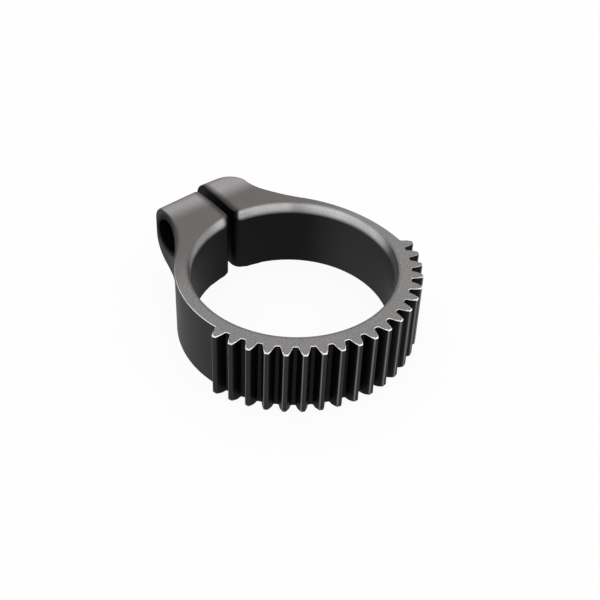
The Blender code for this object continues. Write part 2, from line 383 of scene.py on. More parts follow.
def blank_outline(left_flank):
    """The outline seen from above, turning left, before teeth, slit and round ends."""
    sector_half = (SECTOR_TEETH - 1) / 2 * TOOTH_PITCH + tooth_foot_angle()
    sector_start = SECTOR_MIDDLE - sector_half + 2 * math.pi
    sector_end = SECTOR_MIDDLE + sector_half
    end = LONG_EAR_END + CUT_MARGIN
    right_foot = polar(FLANK_FOOT_RADIUS, RIGHT_FLANK_FOOT)
    right_outward = polar(1.0, RIGHT_FLANK_FOOT - RIGHT_FLANK_LEAN)
    points = sector_outline()
    points += thin_wall(sector_end)
    points += flank(1, right_foot, right_outward, RIGHT_FLANK_RADIUS, LUG_RIGHT)
    points.append(Vector((LUG_RIGHT, end)))
    points.append(Vector((left_flank[-1].x, end)))
    points += reversed(left_flank)
    points += arc(Vector((0, 0)), ROOT_RADIUS, LEFT_FLANK_FOOT, sector_start)[1:-1]
    return points


# Solids

def new_object(name, mesh_maker):
    """An object whose mesh is filled by a function that works on a bmesh."""
    mesh = bpy.data.meshes.new(name)
    shape = bmesh.new()
    mesh_maker(shape)
    bmesh.ops.recalc_face_normals(shape, faces=shape.faces)
    shape.to_mesh(mesh)
    shape.free()
    made = bpy.data.objects.new(name, mesh)
    bpy.context.scene.collection.objects.link(made)
    return made


def loft(shape, rings):
    """Joins rings of equally many points into a closed solid."""
    count = len(rings[0])
    made = [[shape.verts.new(point) for point in ring] for ring in rings]
    for near, far in zip(made, made[1:]):
        for i in range(count):
            j = (i + 1) % count
            shape.faces.new((near[i], near[j], far[j], far[i]))
    shape.faces.new(made[0])
    shape.faces.new(made[-1])


def blank(shape):
    """The gear before its teeth and cuts, with the leaning wall in flat triangles."""
    bottom = blank_outline(left_flank_at_bottom())
    top = blank_outline(left_flank_at_top())
    low = [(point.x, point.y, 0.0) for point in bottom]
    high = [(point.x, point.y, FACE_WIDTH) for point in top]
    loft(shape, [low, high])
    bmesh.ops.connect_verts_nonplanar(shape, angle_limit=FLATNESS, faces=shape.faces[:])


def turned(shape, profile, sides, frame_of_axis):
    """Turns pairs of radius and height about an axis into a closed solid."""
    rings = []
    for radius, height in profile:
        circle = [polar(radius, 2 * math.pi * i / sides) for i in range(sides)]
        rings.append([frame_of_axis @ Vector((point.x, point.y, height)) for point in circle])
    loft(shape, rings)


def ear_profile(end, inset):
    """The lug seen from the side: pairs of Y and Z, falling away towards its round end."""
    fall_from = end - EAR_FALL_LENGTH
    slope = math.tan(EAR_FALL_ANGLE)
    face = end - inset
    drop = slope * (face - fall_from)
    back = -TIP_RADIUS - CUT_MARGIN
    high = FACE_WIDTH + CUT_MARGIN
    top_start = Vector((fall_from - CUT_MARGIN / slope, high))
    top_corner = Vector((face, FACE_WIDTH - drop))
    foot_corner = Vector((face, drop))
    foot_start = Vector((fall_from - CUT_MARGIN / slope, -CUT_MARGIN))
    taken = (EAR_TOP_RADIUS + EAR_FOOT_RADIUS) / math.tan((math.pi / 2 + EAR_FALL_ANGLE) / 2)
    room = min(1.0, EAR_ROUNDING_ROOM * (FACE_WIDTH - 2 * drop) / taken)
    profile = [Vector((back, -CUT_MARGIN)), foot_start]
    profile += rounded_corner(foot_start, foot_corner, top_corner, EAR_FOOT_RADIUS * room)
    profile += rounded_corner(foot_corner, top_corner, top_start, EAR_TOP_RADIUS * room)
    profile += [top_start, Vector((back, high))]
    return profile


def edge_stations(side, outer, radius, end):
    """Places across one ear, from its flat to its side, each with the round edge's inset."""
    stations = []
    for i in range(CORNER_STEPS + 1):
        turn = math.pi / 2 * i / CORNER_STEPS
        across = outer - side * radius * (1 - math.sin(turn))
        stations.append((across, end, radius * (1 - math.cos(turn))))
    return stations


def lug_envelope(shape):
    """A solid that holds the whole part and gives the two ears their rounded ends."""
    wide = 2 * TIP_RADIUS
    low_end = SEAT_EAR_END - SEAT_EAR_SLANT / 2
    left = edge_stations(-1, LUG_LEFT, SEAT_EDGE_RADIUS, low_end)
    right = edge_stations(1, LUG_RIGHT, LONG_EAR_EDGE_RADIUS, LONG_EAR_END)
    stations = [(-wide, low_end, left[-1][2])]
    stations += reversed(left)
    stations.append((SLIT_MIDDLE - EAR_STEP_HALF, low_end + SEAT_EAR_SLANT, 0.0))
    stations.append((SLIT_MIDDLE + EAR_STEP_HALF, LONG_EAR_END, 0.0))
    stations += right
    stations.append((wide, LONG_EAR_END, right[-1][2]))
    rings = []
    for across, end, inset in stations:
        rings.append([(across, point.x, point.y) for point in ear_profile(end, inset)])
    loft(shape, rings)


def bore_cutter(shape):
    """The bore, with the curved lead-in that opens it at the top face."""
    sweep = 2 * math.atan2(LEAD_IN_OPENING, LEAD_IN_DEPTH)
    radius = LEAD_IN_DEPTH / math.sin(sweep)
    profile = [(BORE_RADIUS, -CUT_MARGIN)]
    for i in range(LEAD_IN_STEPS + 1):
        turn = sweep * i / LEAD_IN_STEPS
        height = FACE_WIDTH - LEAD_IN_DEPTH + radius * math.sin(turn)
        profile.append((BORE_RADIUS + radius * (1 - math.cos(turn)), height))
    over = profile[-1][0] + CUT_MARGIN * math.tan(sweep)
    profile.append((over, FACE_WIDTH + CUT_MARGIN))
    turned(shape, profile, math.ceil(2 * math.pi / ARC_STEP), Matrix.Identity(4))


def slit_side(side, wall, corner):
    """One side of the slit, round the ear's corner and a little way along the bore."""
    centre_x = wall + side * corner
    reach = SLIT_MOUTH_RADIUS + corner
    centre = Vector((centre_x, math.sqrt(reach ** 2 - centre_x ** 2)))
    to_wall = math.pi / 2 + side * math.pi / 2
    to_bore = math.atan2(-centre.y, -centre.x)
    if side > 0:
        to_bore = to_bore % (2 * math.pi)
    beside = math.atan2(centre.y, centre.x)
    beyond = beside - side * SLIT_MOUTH_ARC
    points = [Vector((wall, LONG_EAR_END + CUT_MARGIN))]
    points += arc(centre, corner, to_wall, to_bore, CORNER_STEPS)
    points += arc(Vector((0, 0)), SLIT_MOUTH_RADIUS, beside, beyond)[1:]
    return points + [polar(BORE_RADIUS - RIM_THICKNESS, beyond)]


def slit_cutter(shape):
    """The gap between the ears, out to the end of the lug."""
    right = slit_side(1, SLIT_MIDDLE + SLIT_WIDTH / 2, LONG_EAR_CORNER)
    left = slit_side(-1, SLIT_MIDDLE - SLIT_WIDTH / 2, SEAT_EAR_CORNER)
    outline = right + left[::-1]
    heights = (-CUT_MARGIN, FACE_WIDTH + CUT_MARGIN)
    loft(shape, [[(point.x, point.y, height) for point in outline] for height in heights])


def bolt_hole_cutter(shape):
    """The bolt's hole through both ears, with a small chamfer at each mouth."""
    mouth = BOLT_HOLE_RADIUS + BOLT_HOLE_CHAMFER
    profile = [
        (mouth, LUG_LEFT - TIP_RADIUS),
        (mouth, LUG_LEFT),
        (BOLT_HOLE_RADIUS, LUG_LEFT + BOLT_HOLE_CHAMFER),
        (BOLT_HOLE_RADIUS, LUG_RIGHT - BOLT_HOLE_CHAMFER),
        (mouth, LUG_RIGHT),
        (mouth, LUG_RIGHT + TIP_RADIUS),
    ]
    along_x = Matrix.Rotation(math.pi / 2, 4, "Y")
    turned(shape, profile, HOLE_SIDES, Matrix.Translation((0, BOLT_AXIS_Y, BOLT_AXIS_Z)) @ along_x)


# The row of teeth

TEETH_SIZES = (
    ("Module", "NodeSocketFloat", MODULE),
    ("Circle Teeth", "NodeSocketInt", CIRCLE_TEETH),
    ("Sector Teeth", "NodeSocketInt", SECTOR_TEETH),
    ("Pressure Angle", "NodeSocketFloat", PRESSURE_ANGLE),
    ("Addendum", "NodeSocketFloat", ADDENDUM_FACTOR),
    ("Dedendum", "NodeSocketFloat", DEDENDUM_FACTOR),
    ("Root Fillet", "NodeSocketFloat", ROOT_FILLET),
    ("Sink", "NodeSocketFloat", TOOTH_SINK),
    ("Face Width", "NodeSocketFloat", FACE_WIDTH),
    ("Foot Round", "NodeSocketFloat", TOOTH_FOOT_ROUND),
    ("Foot Fall", "NodeSocketFloat", TOOTH_FOOT_FALL),
    ("Foot Narrowing", "NodeSocketFloat", TOOTH_FOOT_NARROWING),
    ("Flank Steps", "NodeSocketInt", FLANK_STEPS),
    ("Fillet Steps", "NodeSocketInt", FILLET_STEPS),
)


def tooth_radii(size):
    """The radii of the pitch, tip and root circles."""
    pitch = size["Module"] * size["Circle Teeth"] / 2
    tip = pitch + size["Addendum"] * size["Module"]
    root = pitch - size["Dedendum"] * size["Module"]
    return pitch, tip, root


def tooth_profile(graph, size):
    """X and Y of a tooth's outline for each point of a line, foot to foot over the tip."""
    pitch, tip, root = tooth_radii(size)
    base = pitch * size["Pressure Angle"].math("COSINE")
    fillet = size["Root Fillet"]

    half_count = size["Flank Steps"] + size["Fillet Steps"] + 2
    from_middle = graph.add("GeometryNodeInputIndex") - (half_count - 0.5)
    side = from_middle.math("SIGN")
    step = from_middle.math("ABSOLUTE") - 0.5
    down_flank = (step / size["Flank Steps"]).clamped()
    down_fillet = ((step - size["Flank Steps"]) / size["Fillet Steps"]).clamped()
    under_root = (step - size["Flank Steps"] - size["Fillet Steps"]).clamped()

    turn = (1 - down_fillet) * (math.pi / 2)
    lift = fillet * (1 - turn.math("COSINE"))
    on_tooth = root + lift + (tip - root - fillet) * (1 - down_flank)
    pressure = (base / on_tooth).math("ARCCOSINE")
    standard = size["Pressure Angle"].math("TANGENT") - size["Pressure Angle"]
    half = math.pi / 2 / size["Circle Teeth"] + standard - pressure.math("TANGENT") + pressure
    half = half + fillet * (1 - turn.math("SINE")) / root
    radius = on_tooth - size["Sink"] * under_root
    x = radius * half.math("COSINE")
    y = radius * half.math("SINE") * side
    return graph.add("ShaderNodeCombineXYZ", None, {"X": x, "Y": y}), half_count * 2


def raised_tooth(graph, size, base):
    """The tooth's outline drawn upward, in short steps as far as its rounded foot goes."""
    turn = math.pi / 2 / TOOTH_FOOT_STEPS
    shares = [1 - math.cos(i * turn) for i in range(TOOTH_FOOT_STEPS + 1)]
    rises = [(after - before) * size["Foot Round"] for before, after in zip(shares, shares[1:])]
    rises.append(size["Face Width"] - size["Foot Round"])
    tooth = base
    selected = {}
    for rise in rises:
        height = graph.add("ShaderNodeCombineXYZ", None, {"Z": rise})
        lift = {"Mesh": tooth, "Offset": height, "Offset Scale": 1.0, "Individual": False}
        lift.update(selected)
        tooth = graph.add("GeometryNodeExtrudeMesh", {"mode": "FACES"}, lift)
        selected = {"Selection": tooth.output("Top")}
    return tooth


def round_foot(graph, size, tooth):
    """Makes the tooth shorter and narrower towards its bottom end, most at the crest."""
    pitch, tip, root = tooth_radii(size)
    root = root + size["Root Fillet"]
    spot = graph.add("ShaderNodeSeparateXYZ", None, {"Vector": graph.add("GeometryNodeInputPosition")})
    below = (1 - spot.output("Z") / size["Foot Round"]).clamped()
    fall = 1 - (1 - below ** 2).clamped().math("SQRT")
    out = ((spot - root) / (tip - root)).clamped() ** TOOTH_FOOT_POWER
    x = spot - size["Foot Fall"] * fall * out
    y = spot.output("Y") * (1 - size["Foot Narrowing"] * fall * out)
    place = graph.add("ShaderNodeCombineXYZ", None, {"X": x, "Y": y, "Z": spot.output("Z")})
    return graph.add("GeometryNodeSetPosition", None, {"Geometry": tooth, "Position": place})


def teeth_tree(material):
    """Geometry nodes that draw one involute tooth and repeat it along the sector."""
    tree = bpy.data.node_groups.new("sector_teeth", "GeometryNodeTree")
    for name, kind, default in TEETH_SIZES:
        tree.interface.new_socket(name, in_out="INPUT", socket_type=kind).default_value = default
    tree.interface.new_socket("Teeth", in_out="OUTPUT", socket_type="NodeSocketGeometry")
    graph = Graph(tree)
    given = graph.add("NodeGroupInput")
    size = {name: given.output(name) for name, kind, default in TEETH_SIZES}

    profile, count = tooth_profile(graph, size)
    line = graph.add("GeometryNodeMeshLine", None, {"Count": count})
    line = graph.add("GeometryNodeSetPosition", None, {"Geometry": line, "Position": profile})
    curve = graph.add("GeometryNodeMeshToCurve", None, {"Mesh": line})
    curve = graph.add("GeometryNodeSetSplineCyclic", None, {"Geometry": curve, "Cyclic": True})
    base = graph.add("GeometryNodeFillCurve", {"mode": "NGONS"}, {"Curve": curve})
    raised = raised_tooth(graph, size, base)
    under = graph.add("GeometryNodeFlipFaces", None, {"Mesh": base})
    tooth = graph.add("GeometryNodeJoinGeometry", None, {"Geometry": [raised, under]})
    tooth = graph.add("GeometryNodeMergeByDistance", None, {"Geometry": tooth, "Distance": WELD})
    tooth = round_foot(graph, size, tooth)

    places = graph.add("GeometryNodePoints", None, {"Count": size["Sector Teeth"]})
    from_middle = graph.add("GeometryNodeInputIndex") - (size["Sector Teeth"] - 1) / 2
    angle = from_middle * (2 * math.pi) / size["Circle Teeth"] + SECTOR_MIDDLE
    turned_by = graph.add("ShaderNodeCombineXYZ", None, {"Z": angle})
    turned_by = graph.add("FunctionNodeEulerToRotation", None, {"Euler": turned_by})
    placed = {"Points": places, "Instance": tooth, "Rotation": turned_by}
    teeth = graph.add("GeometryNodeInstanceOnPoints", None, placed)
    teeth = graph.add("GeometryNodeRealizeInstances", None, {"Geometry": teeth})
    finished = {"Geometry": teeth, "Material": material}
    teeth = graph.add("GeometryNodeSetMaterial", None, finished)
    graph.add("NodeGroupOutput", None, {"Teeth": teeth})
    return tree


def bake_modifiers(made):
    """Gives an object the plain mesh that its modifiers make, and removes them."""
    depsgraph = bpy.context.evaluated_depsgraph_get()
    mesh = bpy.data.meshes.new_from_object(made.evaluated_get(depsgraph), depsgraph=depsgraph)
    made.modifiers.clear()
    made.data = mesh


def sector_teeth(material):
    """The row of teeth, rooted inside the ring."""
    tree = teeth_tree(material)
    teeth = new_object("sector_teeth", lambda shape: None)
    modifier = teeth.modifiers.new("teeth", "NODES")
    modifier.node_group = tree
    sockets = {item.name: item.identifier for item in tree.interface.items_tree}
    for name, kind, size in TEETH_SIZES:
        modifier[sockets[name]] = size
    bake_modifiers(teeth)
    return teeth


# The whole gear

def machine(gear, cuts):
    """Joins, cuts or trims the gear with each tool in turn, and cleans what that leaves."""
    tools = []
    for name, maker, operation in cuts:
        tool = new_object(name, maker) if callable(maker) else maker
        modifier = gear.modifiers.new(name, "BOOLEAN")
        modifier.object = tool
        modifier.operation = operation
        modifier.solver = "EXACT"
        tools.append(tool)
    bake_modifiers(gear)
    for tool in tools:
        bpy.data.objects.remove(tool, do_unlink=True)
    shape = bmesh.new()
    shape.from_mesh(gear.data)
    bmesh.ops.remove_doubles(shape, verts=shape.verts, dist=WELD)
    bmesh.ops.dissolve_degenerate(shape, edges=shape.edges, dist=WELD)
    bmesh.ops.dissolve_limit(
        shape, angle_limit=FLATNESS, verts=shape.verts, edges=shape.edges, delimit=set()
    )
    shape.to_mesh(gear.data)
    shape.free()


def crest_softening(middle, heights):
    """The upright edges of the tooth crests, and none on the lug."""
    upright = max(heights) - min(heights) > FACE_WIDTH / 2
    return TOOTH_CREST_SOFTENING if upright and middle.y < ROOT_RADIUS / 2 else 0.0


def outline_softening(middle, heights):
    """The outer edges of both faces, softest at the ears' top and none under the teeth."""
    if middle.y > LONG_EAR_END:
        return 0.0
    at_tip = middle.y < 0 and middle.xy.length > TIP_RADIUS - WIDEST_SOFTENING
    if at_tip and min(heights) > FACE_WIDTH - WELD:
        return TIP_SOFTENING
    if min(heights) > FACE_WIDTH - WELD:
        reach = EAR_SOFTENING_FULL - EAR_SOFTENING_FROM
        share = max(0.0, min(1.0, (middle.y - EAR_SOFTENING_FROM) / reach))
        return TOP_SOFTENING + (EAR_SOFTENING - TOP_SOFTENING) * share
    among_teeth = abs(math.atan2(middle.x, -middle.y)) < SECTOR_HALF
    return BOTTOM_SOFTENING if max(heights) < WELD and not among_teeth else 0.0


def beside_slit(place):
    return place.y > 0 and abs(place.x - SLIT_MIDDLE) < SLIT_REACH


def slit_softening(middle, heights):
    """The slit's own edges, as far as the ears' corners at the bore."""
    in_ears = beside_slit(middle) and middle.xy.length > SLIT_MOUTH_RADIUS
    return SLIT_SOFTENING if in_ears else 0.0


def bore_softening(middle, heights):
    """The bore's two rims, up to the slit's rounded corners."""
    if beside_slit(middle) or middle.xy.length > LEAD_IN_RADIUS + WELD:
        return 0.0
    return BORE_FOOT_SOFTENING if max(heights) < WELD else LEAD_IN_SOFTENING


def soften_edges(gear, width_of):
    """Rounds the sharp edges, each by its own width, and less where an edge fades out."""
    shape = bmesh.new()
    shape.from_mesh(gear.data)
    weights = shape.edges.layers.float.get("bevel_weight_edge")
    weights = weights or shape.edges.layers.float.new("bevel_weight_edge")
    for edge in shape.edges:
        angle = edge.calc_face_angle(0.0)
        share = (angle - BARELY_SHARP) / (FULLY_SHARP - BARELY_SHARP)
        middle = (edge.verts[0].co + edge.verts[1].co) / 2
        width = width_of(middle, [vert.co.z for vert in edge.verts])
        edge[weights] = max(0.0, min(1.0, share)) * width / WIDEST_SOFTENING
    shape.to_mesh(gear.data)
    shape.free()
    bevel = gear.modifiers.new("softened_edges", "BEVEL")
    bevel.limit_method = "WEIGHT"
    bevel.width = WIDEST_SOFTENING
    bevel.segments = SOFTENING_STEPS
    bevel.use_clamp_overlap = False
    bake_modifiers(gear)


def machined_gear(material):
    """The whole gear, cut and softened in the order that keeps each edge clean."""
    gear = new_object("sector_gear_steel", blank)
    machine(gear, (("teeth", sector_teeth(material), "UNION"),))
    soften_edges(gear, crest_softening)
    soften_edges(gear, outline_softening)
    machine(gear, (
        ("ear_ends", lug_envelope, "INTERSECT"),
        ("slit", slit_cutter, "DIFFERENCE"),
    ))
    soften_edges(gear, slit_softening)
    machine(gear, (
        ("bore", bore_cutter, "DIFFERENCE"),
        ("bolt_hole", bolt_hole_cutter, "DIFFERENCE"),
    ))
    soften_edges(gear, bore_softening)
    return gear


def place_gear(gear):
    """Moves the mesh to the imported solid's place and shades it."""
    gear.data.transform(Matrix.Translation((0, BORE_AXIS_Y, 0)))
    gear.data.shade_smooth()
    gear.data.set_sharp_from_angle(angle=SHADED_SHARP)
    normals = gear.modifiers.new("flat_faces_stay_flat", "WEIGHTED_NORMAL")
    normals.mode = "FACE_AREA"
    normals.weight = FLAT_FACE_WEIGHT
    normals.keep_sharp = True
    bake_modifiers(gear)


# Where the steel's zones begin and end

def around(length, low, high):
    """A range in millimetres about a length in metres."""
    return length / MM + low, length / MM + high


TOP_FACING = (0.82, 0.97)
LEAD_IN_RIM = around(LEAD_IN_RADIUS, -0.22, 0.12)
LEAD_IN_RISE = around(FACE_WIDTH - LEAD_IN_DEPTH, -0.2, 1.1)
BORE_WALL = around(BORE_RADIUS, 0.05, 0.3)
SLIT_WALL = around(SLIT_WIDTH / 2, 0.05, 0.45)
SLIT_START = around(BORE_RADIUS, -1.0, 0.0)
MOUTH_WIDTH = around(SLIT_WIDTH / 2, 0.8, 2.6)
MOUTH_START = (15.0, 17.0)
MOUTH_TOP = around(FACE_WIDTH, -2.0, -1.0)
# Where the painted shade along the slit's edges lies
SLIT_EDGE_SHADE_WIDTH = around(SLIT_WIDTH / 2, 0.2, 1.7)
SLIT_EDGE_SHADE_START = around(BORE_RADIUS, -0.5, 1.0)
BRIGHT_SIDE = (11.0, 15.0)
DARK_CORNER_WIDTH = (0.5, 1.8)
DARK_CORNER_START = (0.0, 5.0)
DARK_CORNER_END = around(SLIT_MIDDLE, -0.2, 0.2)
LEFT_WALL_TURN = (1.33, 1.85)
HOLE_RIM = around(BOLT_HOLE_RADIUS, 0.1, 1.3)
HOLE_SHADE = around(BOLT_HOLE_RADIUS, 0.5, 1.5)
HOLE_SHADE_NEARER = 0.7
HOLE_SHADE_HIGHER = 0.6
SECTOR_END = (SECTOR_HALF - 0.03, SECTOR_HALF)
CREST_RISE = around(TIP_RADIUS, -0.5, -0.1)
CREST_EDGE_START = (0.15, 0.4)
CREST_EDGE_END = (0.75, 0.95)
LUG_START = (3.0, 16.0)
NEAR_LUG = (1.0, 9.0)
NEAR_LUG_SLANT = 0.5
TEETH_HIGHLIGHT_FADE_TURN = (0.6, 1.1)
TEETH_HIGHLIGHT_LOSS = 0.7
EAR_END = around(SEAT_EAR_END - EAR_FALL_LENGTH, -1.0, 3.5)
GAP_FLOOR = around(ROOT_RADIUS, -0.1, -0.02)
BORE_RIM = around(LEAD_IN_RADIUS, 0.2, 0.6)
TOP_EDGE_RISE = around(FACE_WIDTH, -0.6, -0.3)
TOP_EDGE_TILT_START = (0.05, 0.25)
TOP_EDGE_TILT_END = (0.9, 0.985)
TOP_EDGE_START = around(BORE_RADIUS, 1.0, 1.2)
TIP_EDGE = around(TIP_RADIUS, -0.5, -0.2)
PALE_BORE = (12.0, 19.5)
LEFT_BORE = (1.0, 9.0)
BAND_LEFT_SHADE = (2.0, 9.0)

# Noises as scale, detail and roughness
SPECKLE = (1 / (0.35 * MM), 3.0, 0.6)
BLOTCH = (1 / (5.0 * MM), 2.0, 0.5)
PATCHES = (1 / (9.0 * MM), 1.0, 0.5)
TURNED_LINES = (1.0, 2.0, 0.6)
TURNED_LINES_ROUND = 2.0
TURNED_LINES_OUT = 14.0
TURNED_LINES_UP = 9.0
NOISE_MIDDLE = 0.5

# Colours of the steel, several with light and shade painted into them
WALL_COLOUR = (0.064, 0.0615, 0.0615, 1.0)
# Painted shade: the walls darker among the teeth and everywhere but round the left wall
SHADED_WALL_COLOUR = (0.042, 0.0403, 0.0403, 1.0)
# Painted light: the top face lighter than the walls as if lit from above, darker on the lug as painted
# shade, and lighter on the sloped ear ends as a painted highlight
LIT_TOP_COLOUR = (0.205, 0.197, 0.195, 1.0)
SHADED_LUG_TOP_COLOUR = (0.13, 0.122, 0.119, 1.0)
HIGHLIT_EAR_END_COLOUR = (0.31, 0.295, 0.299, 1.0)
# Painted shade: the bore near black, a little lighter on the left and more so on the right
SHADED_BORE_COLOUR = (0.011, 0.0105, 0.0103, 1.0)
LESS_SHADED_BORE_COLOUR = (0.038, 0.0365, 0.037, 1.0)
LEFT_SHADED_BORE_COLOUR = (0.019, 0.0182, 0.018, 1.0)
# Painted shade: near black for the slit, the tooth gaps, the bolt hole and the dark corners
RECESS_SHADE_COLOUR = (0.012, 0.0118, 0.0118, 1.0)
# Painted shade: the tooth crests darker than the walls
SHADED_CREST_COLOUR = (0.032, 0.0308, 0.0308, 1.0)
# Painted shade on the lead-in band at the front and the left
SHADED_BAND_COLOUR = (0.1, 0.097, 0.097, 1.0)
SATIN_COLOUR = (0.45, 0.437, 0.437, 1.0)
# Painted highlight: the lead-in band's brightest bare steel
HIGHLIT_BARE_COLOUR = (0.92, 0.905, 0.9, 1.0)
# Painted highlight on one side of the tooth crests
CREST_EDGE_HIGHLIGHT_COLOUR = (0.28, 0.272, 0.272, 1.0)
# Bright edges, partly bare worn steel and partly a painted highlight
WORN_AND_HIGHLIT_COLOUR = (0.95, 0.94, 0.93, 1.0)

# Wear, finish, and painted light and shade
EDGE_WEAR_AND_HIGHLIGHT_LEAST = 0.45
EDGE_WEAR_AND_HIGHLIGHT_BY_BLOTCH = 1.1
EDGE_WEAR_AND_HIGHLIGHT_BY_SPECKLE = 0.8
EDGE_WEAR_AND_HIGHLIGHT_ON_LUG = 0.08
TIP_WEAR_AND_HIGHLIGHT_LEAST = 0.7
TIP_WEAR_AND_HIGHLIGHT_BY_SPECKLE = 0.8
CREST_EDGE_HIGHLIGHT_LEAST = 0.2
CREST_EDGE_HIGHLIGHT_BY_LINES = 0.7
CHIP_SPECKLE = (0.7, 0.76)
CHIP_BLOTCH = (0.52, 0.6)
CHIP_STRENGTH = 0.6
# Strength of the painted shade along the slit's edges
SLIT_EDGE_SHADE_STRENGTH = 0.8
PATCH_SPREAD = (0.35, 0.62)
PATCH_SHINE = 0.5
BRIGHT_SIDE_SHINE = 0.7
BAND_LEFT_SHADE_STRENGTH = 0.4
SPECKLE_DEPTH = 1.1
SPECKLE_LEAST = 0.5
SPECKLE_ON_RING = 0.9
BLOTCH_DEPTH = 0.35
LINES_DEPTH = 0.5
BORE_RIM_DEPTH = 0.3
SPECULAR_LEVEL = 0.2
SPECULAR_TINT = (0.55, 0.55, 0.55, 1.0)
ROUGHNESS = 0.46
ROUGHNESS_BY_BLOTCH = 0.16
ROUGHNESS_BY_SPECKLE = 0.2
RUBBED_SMOOTHER = 0.14
METALNESS = 0.85
RUBBED_METALNESS = 0.15
LEAD_IN_LESS_METAL = 0.45
RELIEF_DEPTH = 0.02 * MM
RELIEF_STRENGTH = 0.35
RELIEF_BY_LINES = 0.6


class SteelZones:
    """Where a point of the gear lies, as values from 0 to 1, and the steel's noises there.

    Places are in millimetres from the bore's axis, and turns in radians from the sector's middle.
    """

    def __init__(self, graph):
        seen = graph.add("ShaderNodeTexCoord", None, None, "Object")
        self.place = seen
        spots = graph.add("ShaderNodeSeparateXYZ", None, {"Vector": seen})
        facing = graph.add("ShaderNodeSeparateXYZ", None, {"Vector": seen.output("Normal")})
        self.across = spots / MM
        self.along = (spots.output("Y") - BORE_AXIS_Y) / MM
        self.height = spots.output("Z") / MM
        self.upward = facing.output("Z")
        self.sideways = facing * self.along - facing.output("Y") * self.across
        self.radius = (self.across ** 2 + self.along ** 2).math("SQRT")
        self.turn = self.across.math("ARCTAN2", -self.along)
        self.speckle = graph.noise(seen, *SPECKLE)
        self.blotch = graph.noise(seen, *BLOTCH)
        self.turned_lines = graph.noise(graph.add("ShaderNodeCombineXYZ", None, {
            "X": self.turn * TURNED_LINES_ROUND,
            "Y": self.radius * TURNED_LINES_OUT,
            "Z": self.height * TURNED_LINES_UP,
        }), *TURNED_LINES)

    def top(self):
        return self.upward.smooth_step(*TOP_FACING)

    def lead_in(self):
        rim = 1 - self.radius.smooth_step(*LEAD_IN_RIM)
        return rim * self.height.smooth_step(*LEAD_IN_RISE)

    def bore(self):
        wall = 1 - self.radius.smooth_step(*BORE_WALL)
        return wall * (1 - self.top()) * (1 - self.lead_in())

    def from_slit(self):
        """The distance to the slit's middle plane."""
        return (self.across - SLIT_MIDDLE / MM).math("ABSOLUTE")

    # Where the slit is painted near black as shade
    def slit(self):
        between = 1 - self.from_slit().smooth_step(*SLIT_WALL)
        return between * self.along.smooth_step(*SLIT_START) * (1 - self.top())

    def slit_mouth(self):
        """The rounded corners where the slit opens into the bore, painted dark as shade."""
        near = 1 - self.from_slit().smooth_step(*MOUTH_WIDTH)
        below = 1 - self.height.smooth_step(*MOUTH_TOP)
        return near * self.along.smooth_step(*MOUTH_START) * below * (1 - self.top())

    def slit_edge_shade(self):
        """Painted shade: darker stripes along the slit's edges on the ears."""
        near = 1 - self.from_slit().smooth_step(*SLIT_EDGE_SHADE_WIDTH)
        return near * self.along.smooth_step(*SLIT_EDGE_SHADE_START)

    def bright_side(self):
        """The part of the lead-in on the long ear's side, where its painted highlight is brightest."""
        return self.across.smooth_step(*BRIGHT_SIDE)

    def dark_corner(self):
        """The end of the lead-in at the slit, on the shorter ear, painted dark as shade."""
        into_ear = SLIT_MIDDLE / MM - SLIT_WIDTH / 2 / MM - self.across
        near = 1 - into_ear.smooth_step(*DARK_CORNER_WIDTH)
        near = near * self.along.smooth_step(*DARK_CORNER_START)
        return near * (1 - self.across.smooth_step(*DARK_CORNER_END))

    def clear_of_teeth(self):
        """0 beside the first tooth and 1 farther round the left wall, beyond the walls' painted shade.
        """
        return (-self.turn).smooth_step(*LEFT_WALL_TURN)

    def bolt_hole(self):
        """The bolt hole's inside, painted dark as shade, and a painted shade beside it that shifts up
        and towards the bore.
        """
        aside = self.along - BOLT_AXIS_Y / MM
        above = self.height - BOLT_AXIS_Z / MM
        inside = (aside ** 2 + above ** 2).math("SQRT")
        beside = ((aside + HOLE_SHADE_NEARER) ** 2 + (above - HOLE_SHADE_HIGHER) ** 2).math("SQRT")
        shade = 1 - beside.smooth_step(*HOLE_SHADE)
        return shade.highest(1 - inside.smooth_step(*HOLE_RIM))

    def recess_shade(self):
        """Painted shade: the slit and its mouth, the tooth gaps and the bolt hole, painted near black.
        """
        recess_shade = self.slit().highest(self.slit_mouth())
        return recess_shade.highest(self.tooth_gaps()).highest(self.bolt_hole())

    def sector(self):
        return 1 - self.turn.math("ABSOLUTE").smooth_step(*SECTOR_END)

    def crests(self):
        return self.radius.smooth_step(*CREST_RISE) * self.sector() * (1 - self.top())

    def crest_edges(self):
        """The rounded upright edges on one side of the crests, where a highlight is painted."""
        aslant = self.sideways / self.radius
        strip = aslant.smooth_step(*CREST_EDGE_START) * (1 - aslant.smooth_step(*CREST_EDGE_END))
        return strip * self.crests()

    def ring(self):
        """1 on the ring and 0 on the lug."""
        return 1 - self.along.smooth_step(*LUG_START)

    def near_lug(self):
        """0 at the front and 1 towards the lug, sooner on the long ear's side."""
        return (self.along + NEAR_LUG_SLANT * self.across).smooth_step(*NEAR_LUG)

    def teeth_highlight_fade(self):
        """The painted highlight on the edges fades towards the right-hand end of the sector."""
        return 1 - TEETH_HIGHLIGHT_LOSS * self.turn.smooth_step(*TEETH_HIGHLIGHT_FADE_TURN)

    # Where the sloped ear ends are painted lighter, as a highlight
    def ear_ends(self):
        return self.along.smooth_step(*EAR_END)

    # Where the tooth gaps are painted near black as shade
    def tooth_gaps(self):
        low = self.radius.smooth_step(*GAP_FLOOR)
        deep = 1 - self.radius.smooth_step(*CREST_RISE)
        return low * deep * self.sector() * (1 - self.top())

    def bore_rim(self):
        """The darker line where the top face meets the bore's rim, away from the lug."""
        near = 1 - self.radius.smooth_step(*BORE_RIM)
        return near * self.top() * (1 - self.near_lug())

